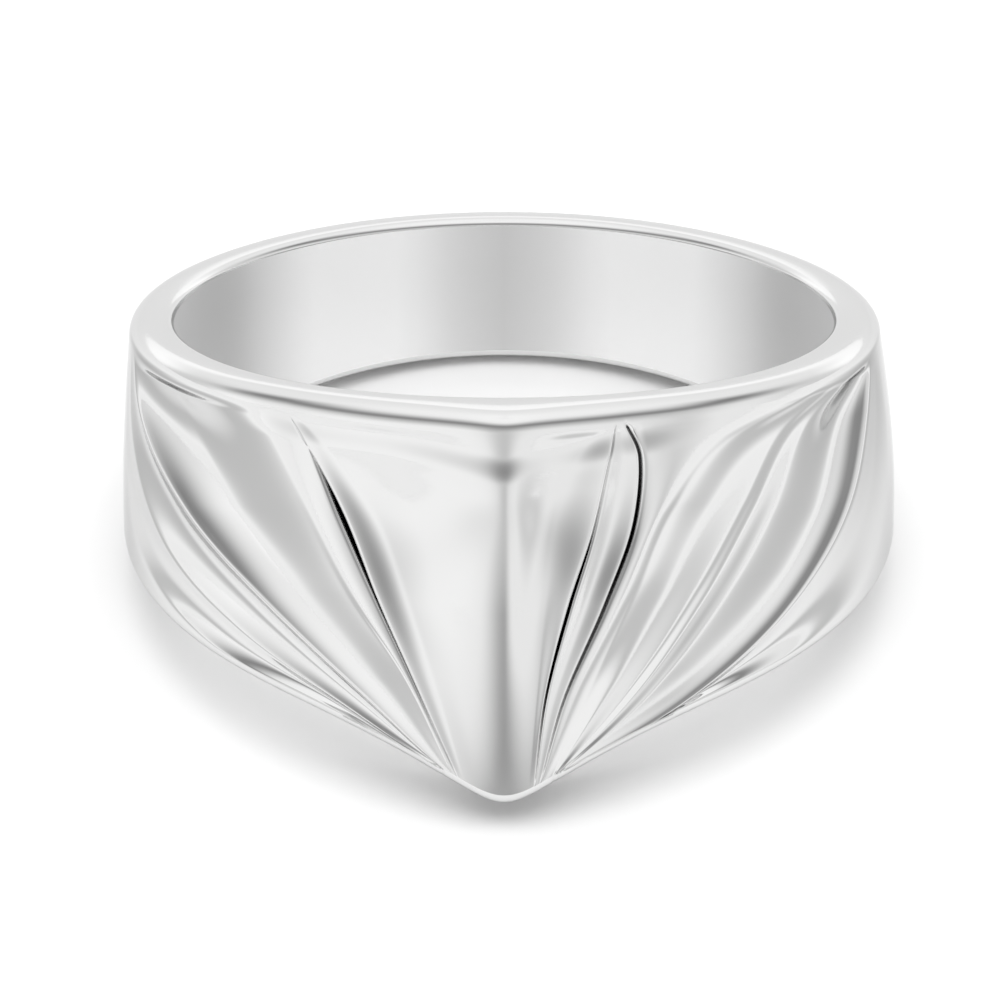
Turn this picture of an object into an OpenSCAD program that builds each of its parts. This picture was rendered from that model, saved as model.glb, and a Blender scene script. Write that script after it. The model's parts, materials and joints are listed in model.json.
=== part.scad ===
// Cast silver band ring. A plain back widens into a deep front, where folds
// fan out from a low point under the middle: side flutes and broad front
// flutes, a narrow cut on the left, a leaf-shaped pair of cuts on the right
// and a creased keel between them. The ring is drawn as it rests on a flat surface,
// on the low point and on the lower edge of its back, so that it leans back.

/* [Finger] */
// Inner diameter of the band
bore_d = 17.3; // [16:0.1:19]
// Rounding of the two inner edges
inner_edge_r = 0.2; // [0.1:0.05:0.3]

/* [Rim] */
// Width of the flat rim at the back and sides
rim_w = 1.14; // [1:0.02:1.4]
// Rounding of the rim's outer edge
rim_edge_r = 0.45; // [0.3:0.05:0.5]
// How far the rim rises at front and back and dips at the sides
rim_wave = 0.12; // [0:0.02:0.2]

/* [Lower edge] */
// Depth of the band at its sides
side_depth = 5.9; // [5:0.1:6.5]
// How much less deep the band is at the back, and deeper at the front
edge_slope = 2.1; // [1.6:0.1:2.4]
// Depth that the low point adds under the front
point_depth = 2.05; // [1.6:0.05:2.4]
// Angle over which the low point runs out
point_spread = 14; // [11:1:16]
// Angle that rounds off the low point
point_round = 4; // [3:0.5:6]
// Rounding of the lower lip
lip_r = 0.25; // [0.2:0.05:0.35]

/* [Front] */
// How far the sides swell beyond the rim, as a mean of left and right
side_swell = 0.37; // [0.3:0.01:0.5]
// How much more the right side swells than the mean
swell_offset = 0.13; // [0:0.01:0.15]
// Depth at which the swell is full
swell_depth = 5; // [4:0.5:6]
// How far the keel stands out at the rim
keel_out = 0.55; // [0.4:0.05:0.7]
// Share that the keel gains by the low point
keel_gain = 0.25; // [0:0.05:0.4]
// Angle over which the keel runs out
keel_angle = 7.5; // [6:0.5:9]
// Angle that rounds off the keel's crease at mid height
keel_sharp = 1.5; // [1:0.1:4]
// Angle that rounds off the keel at the rim
keel_rim = 5; // [3:0.5:7]
// Angle that rounds off the keel at the low point
keel_low = 26; // [15:1:30]
// Depth of the shallow collar under the rim
collar = 0.07; // [0:0.01:0.1]
// Depth of the flutes and cuts, as a share of the tables'
relief = 1; // [0.6:0.05:1.05]

/* [Hidden] */

bore_r = bore_d / 2;
rim_r = bore_r + rim_w;
inside_r = bore_r - 0.4;
low_rows = 22;
high_rows = 16;
rows = low_rows + high_rows;
back_columns = 24;
rim_steps = 4;
lip_steps = 3;

// Shares of the way from the lower edge to the rim at which the tables below
// give their values.
LEVELS = 6;

// At this share of the way the ends of the front leave the lower edge and turn
// up the side, where the plain back begins.
CORNER = 0.6;
CORNER_ANGLE = 80;

// Depth of the lower edge under the rim, at an angle from the front.
function edge_z(angle) =
    -side_depth - edge_slope * cos(angle)
    - point_depth * exp(-(sqrt(pow(angle, 2) + pow(point_round, 2)) - point_round) / point_spread);

// Height of the lip's upper side, along the lower edge.
function lip_z(angle) = edge_z(angle) + lip_r;

// Height of the rim's outer edge, before the wave.
TOP = -rim_edge_r;

// One row for each fold line, from left to right. Columns: the angle from the
// front at each level, the height at each level between the lower edge and the
// rim, and how far the fold lies inside the envelope at each level. The two
// ends have no heights: they follow the lower edge, then rise straight.
FOLDS = [
    // left end
    [[-9.6, -29, -55, -CORNER_ANGLE, -85, -87], [], [0, 0, 0, 0, 0, 0]],
    // left lip
    [[-9.2, -27, -50, -73, -81, -84], [-7.86, -6.96, -5.4, -3.2], [0, 0, 0, 0, 0, 0]],
    // low rib on the left side
    [[-8.7, -24.5, -43, -63, -76.5, -81], [-7.75, -6.45, -4.85, -2.7], [0, 0.06, 0.08, 0.07, 0.02, 0]],
    // left side ridge
    [[-8.2, -20.5, -38, -56, -72, -78], [-7.4, -5.4, -3.65, -1.9], [0, 0, 0, 0, 0, 0]],
    // left front ridge
    [[-7, -13.8, -23, -30.3, -36, -41], [-6.85, -4.85, -2.95, -1.45], [0, 0.03, 0.05, 0.05, 0.03, 0]],
    // left lip of the left cut
    [[-6.35, -12.9, -18.9, -24.9, -29.6, -34.5], [-6.85, -4.85, -2.95, -1.45],
        [0, 0.05, 0.08, 0.08, 0.04, 0]],
    // right lip of the left cut
    [[-6.1, -12.5, -18.2, -23.6, -29.3, -34.3], [-6.85, -4.85, -2.95, -1.45], [0, 0, 0, 0.03, 0.04, 0]],
    // left edge of the keel
    [[-5.3, -9.6, -13.7, -18.6, -25.5, -33], [-6.85, -4.85, -2.95, -1.45], [0, 0.08, 0.16, 0.17, 0.09, 0]],
    // crest of the keel
    [[0, 0, 0, 0, 0, 0], [-7.3, -5.2, -3.3, -1.6], [0, 0, 0, 0, 0, 0]],
    // right edge of the keel
    [[3.2, 4.4, 5.4, 6.6, 9.6, 14.2], [-7.2, -4.95, -3.1, -1.5], [0, 0.06, 0.15, 0.17, 0.1, 0]],
    // left lip of the leaf's inner cut
    [[4, 5.5, 8.7, 12.6, 15.2, 16.6], [-7.2, -4.95, -3.1, -1.4], [0, 0.02, 0.03, 0.05, 0.03, 0]],
    // right lip of the leaf's inner cut
    [[4.2, 5.9, 9.3, 13, 15.5, 16.8], [-7.2, -4.95, -3.1, -1.4], [0, 0.05, 0.1, 0.1, 0.04, 0]],
    // left lip of the leaf's outer cut
    [[4.7, 8.2, 14, 18.6, 19.9, 17.8], [-7.2, -4.95, -3.1, -1.4], [0, 0.03, 0.05, 0.05, 0.03, 0]],
    // right lip of the leaf's outer cut
    [[5, 8.6, 14.6, 19.2, 20.6, 18.4], [-7.2, -4.95, -3.1, -1.4], [0, 0, 0, 0, 0, 0]],
    // right front ridge
    [[6.5, 12.8, 19.4, 25.4, 35, 55], [-6.75, -4.55, -2.65, -1.2], [0, 0.03, 0.05, 0.06, 0.05, 0]],
    // upper rib of the right flute
    [[7.2, 18.5, 28.5, 37.5, 46, 60], [-7.1, -5, -3, -1.35], [0, 0.1, 0.18, 0.24, 0.2, 0]],
    // lower rib of the right flute
    [[7.7, 21, 33, 43.5, 52, 65], [-7.45, -5.45, -3.4, -1.5], [0, 0.1, 0.18, 0.26, 0.24, 0]],
    // right side ridge
    [[8.3, 27, 45, 60, 69, 74], [-7.75, -6, -3.9, -1.8], [0, 0, 0, 0, 0, 0]],
    // right lip
    [[9, 28, 51, 73, 79.5, 80], [-7.82, -6.94, -5.5, -3.1], [0, 0, 0, 0, 0, 0]],
    // right end
    [[9.6, 30, 56, CORNER_ANGLE, 84, 85], [], [0, 0, 0, 0, 0, 0]],
];

// One row for each strip between two folds, from left to right. Columns: where
// its floor lies across it, its depth at each level (below zero it swells), the
// steepness of its left wall at the fold and at the floor, the same for its
// right wall, and its number of facets across.
STRIPS = [
    // left lip
    [0.5, [0, 0, 0, 0, 0, 0], [2, 0], [2, 0], 1],
    // left low flute
    [0.5, [0, 0.12, 0.1, 0.07, 0.02, 0], [1.8, 0.2], [1.8, 0.2], 4],
    // left side flute
    [0.6, [0.02, 0.12, 0.2, 0.25, 0.06, 0], [1.2, 0.2], [2, 0.2], 4],
    // left front flute
    [0.4, [0, 0.06, 0.16, 0.42, 0.55, 0.06], [2.4, 0.2], [0.8, 0.1], 8],
    // bevel by the left cut
    [0.5, [0, -0.02, -0.04, -0.04, -0.02, 0], [2, 0], [2, 0], 2],
    // left cut
    [0.5, [0, 0.1, 0.24, 0.42, 0.02, 0], [1.2, 0.6], [1.2, 0.6], 2],
    // slope up to the keel
    [0.5, [0, 0.02, 0.02, 0.02, 0, 0], [1, 0], [1, 0], 3],
    // left half of the keel
    [0.35, [0, 0.03, 0.05, 0.06, 0.04, 0], [1.2, 0], [0, 0], 8],
    // right half of the keel
    [0.6, [0, 0, 0.02, 0.03, 0.02, 0], [0, 0], [1.2, 0], 6],
    // left side of the leaf
    [0.5, [0, 0, 0, 0, 0, 0], [1.5, 0.5], [1.5, 0.5], 2],
    // inner cut of the leaf
    [0.5, [0, 0.2, 0.42, 0.14, 0.04, 0.04], [1.2, 0.6], [1.2, 0.6], 2],
    // middle of the leaf
    [0.5, [0, 0.02, 0.08, 0.08, 0.03, 0], [1, 0.3], [1, 0.3], 4],
    // outer cut of the leaf
    [0.5, [0, 0.14, 0.2, 0.26, 0.22, 0.18], [1.2, 0.6], [1.2, 0.6], 2],
    // panel
    [0.5, [0, -0.03, -0.05, -0.06, -0.04, 0], [2, 0], [2, 0], 3],
    // right flute, upper part
    [0.5, [0.03, 0.06, 0.09, 0.09, 0.03, 0], [1.2, 0.1], [0.2, 0.1], 6],
    // right flute, middle part
    [0.5, [0.02, 0.05, 0.09, 0.11, 0.04, 0], [0.2, 0.1], [0.2, 0.1], 5],
    // right flute, lower part
    [0.7, [0, 0.06, 0.16, 0.32, 0.42, 0.08], [0.2, 0.1], [2.6, 0.2], 6],
    // right side flute
    [0.42, [0, 0.1, 0.11, 0.09, 0.05, 0], [2, 0.2], [0.8, 0.1], 5],
    // right lip
    [0.5, [0, 0, 0, 0, 0, 0], [2, 0], [2, 0], 1],
];

function clamp(x) = min(max(x, 0), 1);
function mix(a, b, share) = a + (b - a) * share;
function eased_step(share) = let (s = clamp(share)) s * s * (3 - 2 * s);

// Smooth curve through a table's values at the levels.
function along(values, v) =
    let (t = clamp(v) * (LEVELS - 1), i = min(floor(t), LEVELS - 2), f = t - i)
    let (b = values[i], c = values[i + 1])
    let (a = i > 0 ? values[i - 1] : 2 * b - c, d = i < LEVELS - 2 ? values[i + 2] : 2 * c - b)
    (2 * b + (c - a) * f + (2 * a - 5 * b + 4 * c - d) * f * f + (3 * b - a - 3 * c + d) * f * f * f) / 2;

// The keel is round at the rim, sharpens to a crease at mid height and spreads
// into a broad round back towards the low point.
KEEL_START = 1.6;
KEEL_FROM = 2;
KEEL_OVER = 5;
KEEL_END = 9;
function keel(angle, z) =
    let (gain = 1 + keel_gain * eased_step(-z / KEEL_END))
    let (at_rim = (keel_rim - keel_sharp) * (1 - eased_step(-z / KEEL_START)))
    let (at_point = (keel_low - keel_sharp) * eased_step((-z - KEEL_FROM) / KEEL_OVER))
    let (blunt = keel_sharp + at_rim + at_point)
    keel_out * gain * exp(-(sqrt(pow(angle, 2) + pow(blunt, 2)) - blunt) / keel_angle);

// Outer radius that the ridges reach.
function envelope(angle, z) =
    let (back = abs(angle) <= 90 ? 1 : max(0, cos(abs(angle) - 90)))
    let (swell = (side_swell + swell_offset * sin(angle)) * back * sin(90 * clamp(-z / swell_depth)))
    rim_r + swell + keel(angle, z);

// Depth of the collar, a shallow step in under the rim. Its lower line dips to
// a point at the keel, and it fades out to both sides.
COLLAR_Z = -0.75;
COLLAR_DIP = 0.6;
COLLAR_FADE = 14;
COLLAR_W = 0.35;
COLLAR_HALF = 34;
COLLAR_CENTRE = -8;
COLLAR_SOFT = 7;
function collar_depth(angle, z) =
    let (low = COLLAR_Z - COLLAR_DIP * exp(-abs(angle) / COLLAR_FADE))
    let (ends = eased_step((COLLAR_HALF - abs(angle - COLLAR_CENTRE)) / (2 * COLLAR_SOFT) + 0.5))
    collar * ends * eased_step((z - low + COLLAR_W) / (2 * COLLAR_W));

// Share of a strip's depth at a share of the way across it.
function hollow(across, strip) =
    let (floor_at = strip[0], on_left = across < floor_at)
    let (s = on_left ? across / floor_at : (1 - across) / (1 - floor_at))
    let (steep = on_left ? strip[2] : strip[3])
    let (cube = pow(s, 3))
    (cube - 2 * s * s + s) * steep[0] + 3 * s * s - 2 * cube + (cube - s * s) * steep[1];

// The flutes end in an arch under the rim, over this share of the height.
ARCH = 0.06;
function arch(v) = eased_step((1 - v) / ARCH);

// How much of the lower edge's own curve a row follows.
function edge_hold(v) = pow(1 - v, 4);

// Angle, height and drop of a fold line.
function end_z(angle, v) = mix(lip_z(angle), TOP, max(0, (v - CORNER) / (1 - CORNER)));
function heights(fold) = concat([lip_z(fold[0][0])], fold[1], [TOP]);
function fold_at(fold, v) =
    let (angle = along(fold[0], v))
    [angle, len(fold[1]) == 0 ? end_z(angle, v) : along(heights(fold), v), along(fold[2], v)];

// A point is [angle, height, radius] until it is placed.
function front_point(column, v) =
    let (s = column[0], across = column[1], strip = STRIPS[s])
    let (left = fold_at(FOLDS[s], v), right = fold_at(FOLDS[s + 1], v), at = mix(left, right, across))
    let (low = mix(fold_at(FOLDS[s], 0), fold_at(FOLDS[s + 1], 0), across))
    let (angle = at[0], hold = lip_z(low[0]) - low[1])
    let (z = at[1] + edge_hold(v) * hold + rim_wave * cos(2 * angle) * v * v)
    let (drop = mix(left[2], right[2], eased_step(across)))
    let (depth = arch(v) * (drop + along(strip[1], v) * hollow(across, strip)) + collar_depth(angle, z))
    [angle, z, envelope(angle, z) - relief * depth];

COLUMNS = [
    for (s = [0 : len(STRIPS) - 1], q = [0 : STRIPS[s][4] - 1]) [s, q / STRIPS[s][4]],
    [len(STRIPS) - 1, 1],
];
front_columns = len(COLUMNS) - 1;
LEFT = COLUMNS[0];
RIGHT = COLUMNS[front_columns];

// Rows lie closer together near the lip and the rim, and one meets the corner.
function ease(share) = mix(share, 1 - cos(90 * share), 0.5);
function row_level(j) =
    j <= low_rows
    ? CORNER * ease(j / low_rows)
    : 1 - (1 - CORNER) * ease((rows - j) / high_rows);

// The plain back joins the two lips' upper ends round the back.
function back_point(k, j) =
    let (share = k / back_columns, v = row_level(j), rise = (v - CORNER) / (1 - CORNER))
    let (right = front_point(RIGHT, v)[0], left = front_point(LEFT, v)[0])
    let (angle = mix(right, 360 + left, share), turned = angle > 180 ? angle - 360 : angle)
    let (z = mix(lip_z(turned), TOP, rise) + rim_wave * cos(2 * turned) * v * v)
    [turned, z, envelope(turned, z)];

FRONT = [for (j = [0 : rows], c = COLUMNS) front_point(c, row_level(j))];
BACK = [for (j = [low_rows : rows], k = [1 : back_columns - 1]) back_point(k, j)];

function front_at(j, i) = j * (front_columns + 1) + i;
function back_at(j, k) =
    k == 0 ? front_at(j, front_columns)
    : k == back_columns ? front_at(j, 0)
    : len(FRONT) + (j - low_rows) * (back_columns - 1) + k - 1;

// The closed line round the rim's outer edge, and the one round the lip.
RIM_LINE = concat(
    [for (i = [0 : front_columns]) front_at(rows, i)],
    [for (k = [1 : back_columns - 1]) back_at(rows, k)]
);
LIP_LINE = concat(
    [for (j = [low_rows : -1 : 1]) front_at(j, 0)],
    [for (i = [0 : front_columns]) front_at(0, i)],
    [for (j = [1 : low_rows]) front_at(j, front_columns)],
    [for (k = [1 : back_columns - 1]) back_at(low_rows, k)]
);

// Sections from those two lines inward: over the edge, across the flat and
// round the inner edge to just inside the finger hole. Each gives the height
// above or below the line, and either a step inward or a radius.
function over_edge(r, steps) = [
    for (q = [1 : steps]) let (a = 90 * q / steps) [r * sin(a), r * (1 - cos(a)), 0]
];
function into_bore(r) = concat(
    [for (a = [0, 30, 58]) [r - inner_edge_r * (1 - cos(a)), 0, bore_r + inner_edge_r * (1 - sin(a))]],
    [[r - inner_edge_r - 0.2, 0, inside_r]]
);
RIM_SECTION = concat(over_edge(rim_edge_r, rim_steps), into_bore(rim_edge_r));
LIP_SECTION = concat(over_edge(lip_r, lip_steps), into_bore(lip_r));

OUTER = concat(FRONT, BACK);
function inward(line, section, up) = [
    for (step = section, i = line)
        let (p = OUTER[i]) [p[0], p[1] + up * step[0], step[2] > 0 ? step[2] : p[2] - step[1]]
];
RIM_POINTS = inward(RIM_LINE, RIM_SECTION, 1);
LIP_POINTS = inward(LIP_LINE, LIP_SECTION, -1);

function place(p) = [p[2] * sin(p[0]), -p[2] * cos(p[0]), p[1]];
rim_start = len(OUTER);
lip_start = rim_start + len(RIM_POINTS);
POINTS = concat(
    [for (p = OUTER) place(p)], [for (p = RIM_POINTS) place(p)], [for (p = LIP_POINTS) place(p)],
    [[0, 0, -1], [0, 0, -side_depth]]
);
top_centre = len(POINTS) - 2;
low_centre = len(POINTS) - 1;

// Two triangles for each step between two lines of points.
function quad(a, b, c, d) = [[a, b, c], [a, c, d]];
function strip_faces(lower, upper, closed) = [
    for (i = [0 : len(lower) - (closed ? 1 : 2)])
        let (n = (i + 1) % len(lower))
        each quad(lower[i], upper[i], upper[n], lower[n])
];
function section_faces(line, start, count, flip) = [
    for (q = [0 : count - 1])
        let (n = len(line))
        let (from = q == 0 ? line : [for (i = [0 : n - 1]) start + (q - 1) * n + i])
        let (to = [for (i = [0 : n - 1]) start + q * n + i])
        each flip ? strip_faces(to, from, true) : strip_faces(from, to, true)
];
function cap_faces(start, n, centre, flip) = [
    for (i = [0 : n - 1])
        let (a = start + i, b = start + (i + 1) % n)
        flip ? [a, b, centre] : [b, a, centre]
];
FACES = concat(
    [for (j = [0 : rows - 1]) each strip_faces(
        [for (i = [0 : front_columns]) front_at(j, i)],
        [for (i = [0 : front_columns]) front_at(j + 1, i)], false)],
    [for (j = [low_rows : rows - 1]) each strip_faces(
        [for (k = [0 : back_columns]) back_at(j, k)],
        [for (k = [0 : back_columns]) back_at(j + 1, k)], false)],
    section_faces(RIM_LINE, rim_start, len(RIM_SECTION), false),
    section_faces(LIP_LINE, lip_start, len(LIP_SECTION), true),
    cap_faces(rim_start + (len(RIM_SECTION) - 1) * len(RIM_LINE), len(RIM_LINE), top_centre, false),
    cap_faces(lip_start + (len(LIP_SECTION) - 1) * len(LIP_LINE), len(LIP_LINE), low_centre, true)
);

// The ring leans back until the low point and the back's lower edge touch one
// plane. The touching points are found again after each turn.
function rise_at(p, lean) = p[2] * cos(lean) - p[1] * sin(lean);
function lowest(points, lean) =
    let (rises = [for (p = points) rise_at(p, lean)], least = min(rises))
    [for (i = [0 : len(points) - 1]) if (rises[i] == least) points[i]][0];
FRONT_HALF = [for (p = POINTS) if (p[1] < 0 && norm([p[0], p[1]]) > bore_r) p];
BACK_HALF = [for (p = POINTS) if (p[1] > 0 && norm([p[0], p[1]]) > bore_r) p];
function lean_of(lean, turns) =
    let (f = lowest(FRONT_HALF, lean), b = lowest(BACK_HALF, lean))
    let (next = atan2(b[2] - f[2], b[1] - f[1]))
    turns > 0 ? lean_of(next, turns - 1) : next;
lean = lean_of(17, 3);

SOLID_POINTS = concat(FRONT_HALF, BACK_HALF);
floor_z = min([for (p = SOLID_POINTS) rise_at(p, lean)]);
depths = [for (p = SOLID_POINTS) p[1] * cos(lean) + p[2] * sin(lean)];
middle_y = (min(depths) + max(depths)) / 2;
widths = [for (p = SOLID_POINTS) p[0]];
middle_x = (min(widths) + max(widths)) / 2;

module rest_on_floor() {
    translate([-middle_x, -middle_y, -floor_z])
        rotate([-lean, 0, 0])
            children();
}

module band() {
    color("silver")
        rest_on_floor()
            difference() {
                polyhedron(points = POINTS, faces = FACES, convexity = 8);
                translate([0, 0, -side_depth * 3])
                    cylinder(r = bore_r, h = side_depth * 4, $fn = 180);
            }
}

band();
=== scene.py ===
"""Dresses a cast silver band ring with a fanned front and sets it on a pale studio floor.

The ring's form is worked out in millimetres in the ring's own frame: the rim
lies at height zero, the finger hole's axis is Z and the front is at -Y. Angles
are in degrees from the front, positive towards +X. The finished mesh is then
leaned back as the frame's finger hole leans, in metres.
"""

import json
import logging
import math
from dataclasses import dataclass, field
from enum import Enum
from typing import Callable, Sequence, Union

import bpy
import numpy as np
from mathutils import Matrix, Vector


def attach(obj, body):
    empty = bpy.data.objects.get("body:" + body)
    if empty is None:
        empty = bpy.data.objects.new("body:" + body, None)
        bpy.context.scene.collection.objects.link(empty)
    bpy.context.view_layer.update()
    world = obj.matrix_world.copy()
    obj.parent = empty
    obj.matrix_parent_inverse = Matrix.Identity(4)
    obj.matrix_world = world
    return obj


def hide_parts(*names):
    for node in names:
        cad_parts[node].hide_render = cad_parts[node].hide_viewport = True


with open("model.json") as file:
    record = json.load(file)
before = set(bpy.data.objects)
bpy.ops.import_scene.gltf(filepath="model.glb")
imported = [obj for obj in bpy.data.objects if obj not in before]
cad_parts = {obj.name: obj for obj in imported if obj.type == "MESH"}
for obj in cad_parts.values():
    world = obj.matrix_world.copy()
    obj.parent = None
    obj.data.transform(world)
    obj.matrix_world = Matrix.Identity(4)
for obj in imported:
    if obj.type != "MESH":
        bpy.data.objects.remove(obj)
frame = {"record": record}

LOG = logging.getLogger("silver_ring")
MM = 0.001
BAND_NODE = "band"
UV_ROUND = "round_the_hole"
# Attribute of the depth in a cut, which sets the painted shade of the cut floors.
PAINTED_SHADE_DEPTH = "recess"
HALF_TURN = 0.5

Curve = Sequence[float]
Value = Union[float, np.ndarray]
Signal = Union[float, bpy.types.NodeSocket]
Move = Callable[[np.ndarray], np.ndarray]


class RingEdge(Enum):
    """The two edges of the ring, each with the name of its lines' vertex group."""

    RIM = "rim_flat"
    LIP = "lip_flat"


@dataclass(frozen=True)
class Fold:
    """A fold line from the lower edge to the rim, given at six levels.

    The heights are those of the four levels between lower edge and rim. An end
    of the front has none: it follows the lower edge, then rises straight to the
    rim. The drops say how far the fold lies inside the ring's envelope.
    """

    angles: Curve
    heights: Curve
    drops: Curve


@dataclass(frozen=True)
class Strip:
    """The surface between two folds, hollow or swollen along a floor line.

    The depths are measured at six levels from the lower edge to the rim, and a
    negative depth swells. Each wall has two slopes: its steepness at the fold
    and at the floor. A strip with painted shade is one of the three cuts, whose
    floor the outer finish paints in shade by its depth.
    """

    floor_at: float
    depths: Curve
    left: Curve
    right: Curve
    columns: int
    painted_shade: bool = False


def front_folds() -> dict[str, Fold]:
    """The front's fold lines, from left to right.

    Returns:
        Each fold under its name: its angles, its heights, then its drops.
    """
    return {
        "left_end": Fold((-9.6, -29, -55, -80, -85, -87), (),
                         (0, 0, 0, 0, 0, 0)),
        "left_lip": Fold((-9.2, -27, -50, -73, -81, -84), (-7.86, -6.96, -5.4, -3.2),
                         (0, 0, 0, 0, 0, 0)),
        "left_rib": Fold((-8.7, -24.5, -43, -63, -76.5, -81), (-7.75, -6.45, -4.85, -2.7),
                         (0, 0.06, 0.08, 0.07, 0.02, 0)),
        "left_side": Fold((-8.2, -20.5, -38, -56, -72, -78), (-7.4, -5.4, -3.65, -1.9),
                          (0, 0, 0, 0, 0, 0)),
        "left_front": Fold((-7, -13.8, -23, -30.3, -36, -41), (-6.85, -4.85, -2.95, -1.45),
                           (0, 0.03, 0.05, 0.05, 0.03, 0)),
        "cut_lip": Fold((-6.35, -12.9, -18.9, -24.9, -29.6, -34.5), (-6.85, -4.85, -2.95, -1.45),
                        (0, 0.05, 0.08, 0.08, 0.04, 0)),
        "cut_ledge": Fold((-6.1, -12.5, -18.2, -23.6, -29.3, -34.3), (-6.85, -4.85, -2.95, -1.45),
                          (0, 0, 0, 0.03, 0.04, 0)),
        "keel_left": Fold((-5.3, -9.6, -13.7, -18.6, -25.5, -33), (-6.85, -4.85, -2.95, -1.45),
                          (0, 0.08, 0.16, 0.17, 0.09, 0)),
        "keel": Fold((0, 0, 0, 0, 0, 0), (-7.3, -5.2, -3.3, -1.6),
                     (0, 0, 0, 0, 0, 0)),
        "keel_right": Fold((3.2, 4.4, 5.4, 6.6, 9.6, 14.2), (-7.2, -4.95, -3.1, -1.5),
                           (0, 0.06, 0.15, 0.17, 0.1, 0)),
        "leaf_crack": Fold((4, 5.5, 8.7, 12.6, 15.2, 16.6), (-7.2, -4.95, -3.1, -1.4),
                           (0, 0.02, 0.03, 0.05, 0.03, 0)),
        "leaf_ledge": Fold((4.2, 5.9, 9.3, 13, 15.5, 16.8), (-7.2, -4.95, -3.1, -1.4),
                           (0, 0.05, 0.1, 0.1, 0.04, 0)),
        "leaf_edge": Fold((4.7, 8.2, 14, 18.6, 19.9, 17.8), (-7.2, -4.95, -3.1, -1.4),
                          (0, 0.03, 0.05, 0.05, 0.03, 0)),
        "leaf_lip": Fold((5, 8.6, 14.6, 19.2, 20.6, 18.4), (-7.2, -4.95, -3.1, -1.4),
                         (0, 0, 0, 0, 0, 0)),
        "right_front": Fold((6.5, 12.8, 19.4, 25.4, 35, 55), (-6.75, -4.55, -2.65, -1.2),
                            (0, 0.03, 0.05, 0.06, 0.05, 0)),
        "right_rib": Fold((7.2, 18.5, 28.5, 37.5, 46, 60), (-7.1, -5, -3, -1.35),
                          (0, 0.1, 0.18, 0.24, 0.2, 0)),
        "right_low_rib": Fold((7.7, 21, 33, 43.5, 52, 65), (-7.45, -5.45, -3.4, -1.5),
                              (0, 0.1, 0.18, 0.26, 0.24, 0)),
        "right_side": Fold((8.3, 27, 45, 60, 69, 74), (-7.75, -6, -3.9, -1.8),
                           (0, 0, 0, 0, 0, 0)),
        "right_lip": Fold((9, 28, 51, 73, 79.5, 80), (-7.82, -6.94, -5.5, -3.1),
                          (0, 0, 0, 0, 0, 0)),
        "right_end": Fold((9.6, 30, 56, 80, 84, 85), (),
                          (0, 0, 0, 0, 0, 0)),
    }


def front_strips() -> dict[str, Strip]:
    """The strips between neighbouring folds, from left to right.

    Returns:
        Each strip under its name: where its floor lies, its depths, the slopes
        of its left and right wall, its columns, and whether it is a cut whose
        floor gets painted shade.
    """
    return {
        "left_edge": Strip(0.5, (0, 0, 0, 0, 0, 0),
                           (2, 0), (2, 0), 6),
        "left_low_flute": Strip(0.5, (0, 0.12, 0.1, 0.07, 0.02, 0),
                                (1.8, 0.2), (1.8, 0.2), 18),
        "left_side_flute": Strip(0.6, (0.02, 0.12, 0.2, 0.25, 0.06, 0),
                                 (1.2, 0.2), (2, 0.2), 18),
        "left_front_flute": Strip(0.4, (0, 0.06, 0.16, 0.42, 0.55, 0.06),
                                  (2.4, 0.2), (0.8, 0.1), 40),
        "left_bevel": Strip(0.5, (0, -0.02, -0.04, -0.04, -0.02, 0),
                            (2, 0), (2, 0), 14),
        "left_cut": Strip(0.5, (0, 0.1, 0.24, 0.42, 0.02, 0),
                          (1.2, 0.6), (1.2, 0.6), 12, True),
        "cut_wall": Strip(0.5, (0, 0.02, 0.02, 0.02, 0, 0),
                          (1, 0), (1, 0), 16),
        "keel_left_half": Strip(0.35, (0, 0.03, 0.05, 0.06, 0.04, 0),
                                (1.2, 0), (0, 0), 36),
        "keel_right_half": Strip(0.6, (0, 0, 0.02, 0.03, 0.02, 0),
                                 (0, 0), (1.2, 0), 26),
        "leaf_left": Strip(0.5, (0, 0, 0, 0, 0, 0),
                           (1.5, 0.5), (1.5, 0.5), 14),
        "leaf_cut": Strip(0.5, (0, 0.2, 0.42, 0.14, 0.04, 0.04),
                          (1.2, 0.6), (1.2, 0.6), 10, True),
        "leaf_middle": Strip(0.5, (0, 0.02, 0.08, 0.08, 0.03, 0),
                             (1, 0.3), (1, 0.3), 14),
        "leaf_line": Strip(0.5, (0, 0.14, 0.2, 0.26, 0.22, 0.18),
                           (1.2, 0.6), (1.2, 0.6), 10, True),
        "panel": Strip(0.5, (0, -0.03, -0.05, -0.06, -0.04, 0),
                       (2, 0), (2, 0), 16),
        "right_front_flute": Strip(0.5, (0.03, 0.06, 0.09, 0.09, 0.03, 0),
                                   (1.2, 0.1), (0.2, 0.1), 22),
        "right_back_flute": Strip(0.5, (0.02, 0.05, 0.09, 0.11, 0.04, 0),
                                  (0.2, 0.1), (0.2, 0.1), 18),
        "right_wedge": Strip(0.7, (0, 0.06, 0.16, 0.32, 0.42, 0.08),
                             (0.2, 0.1), (2.6, 0.2), 24),
        "right_side_flute": Strip(0.42, (0, 0.1, 0.11, 0.09, 0.05, 0),
                                  (2, 0.2), (0.8, 0.1), 22),
        "right_edge": Strip(0.5, (0, 0, 0, 0, 0, 0),
                            (2, 0), (2, 0), 6),
    }


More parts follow.
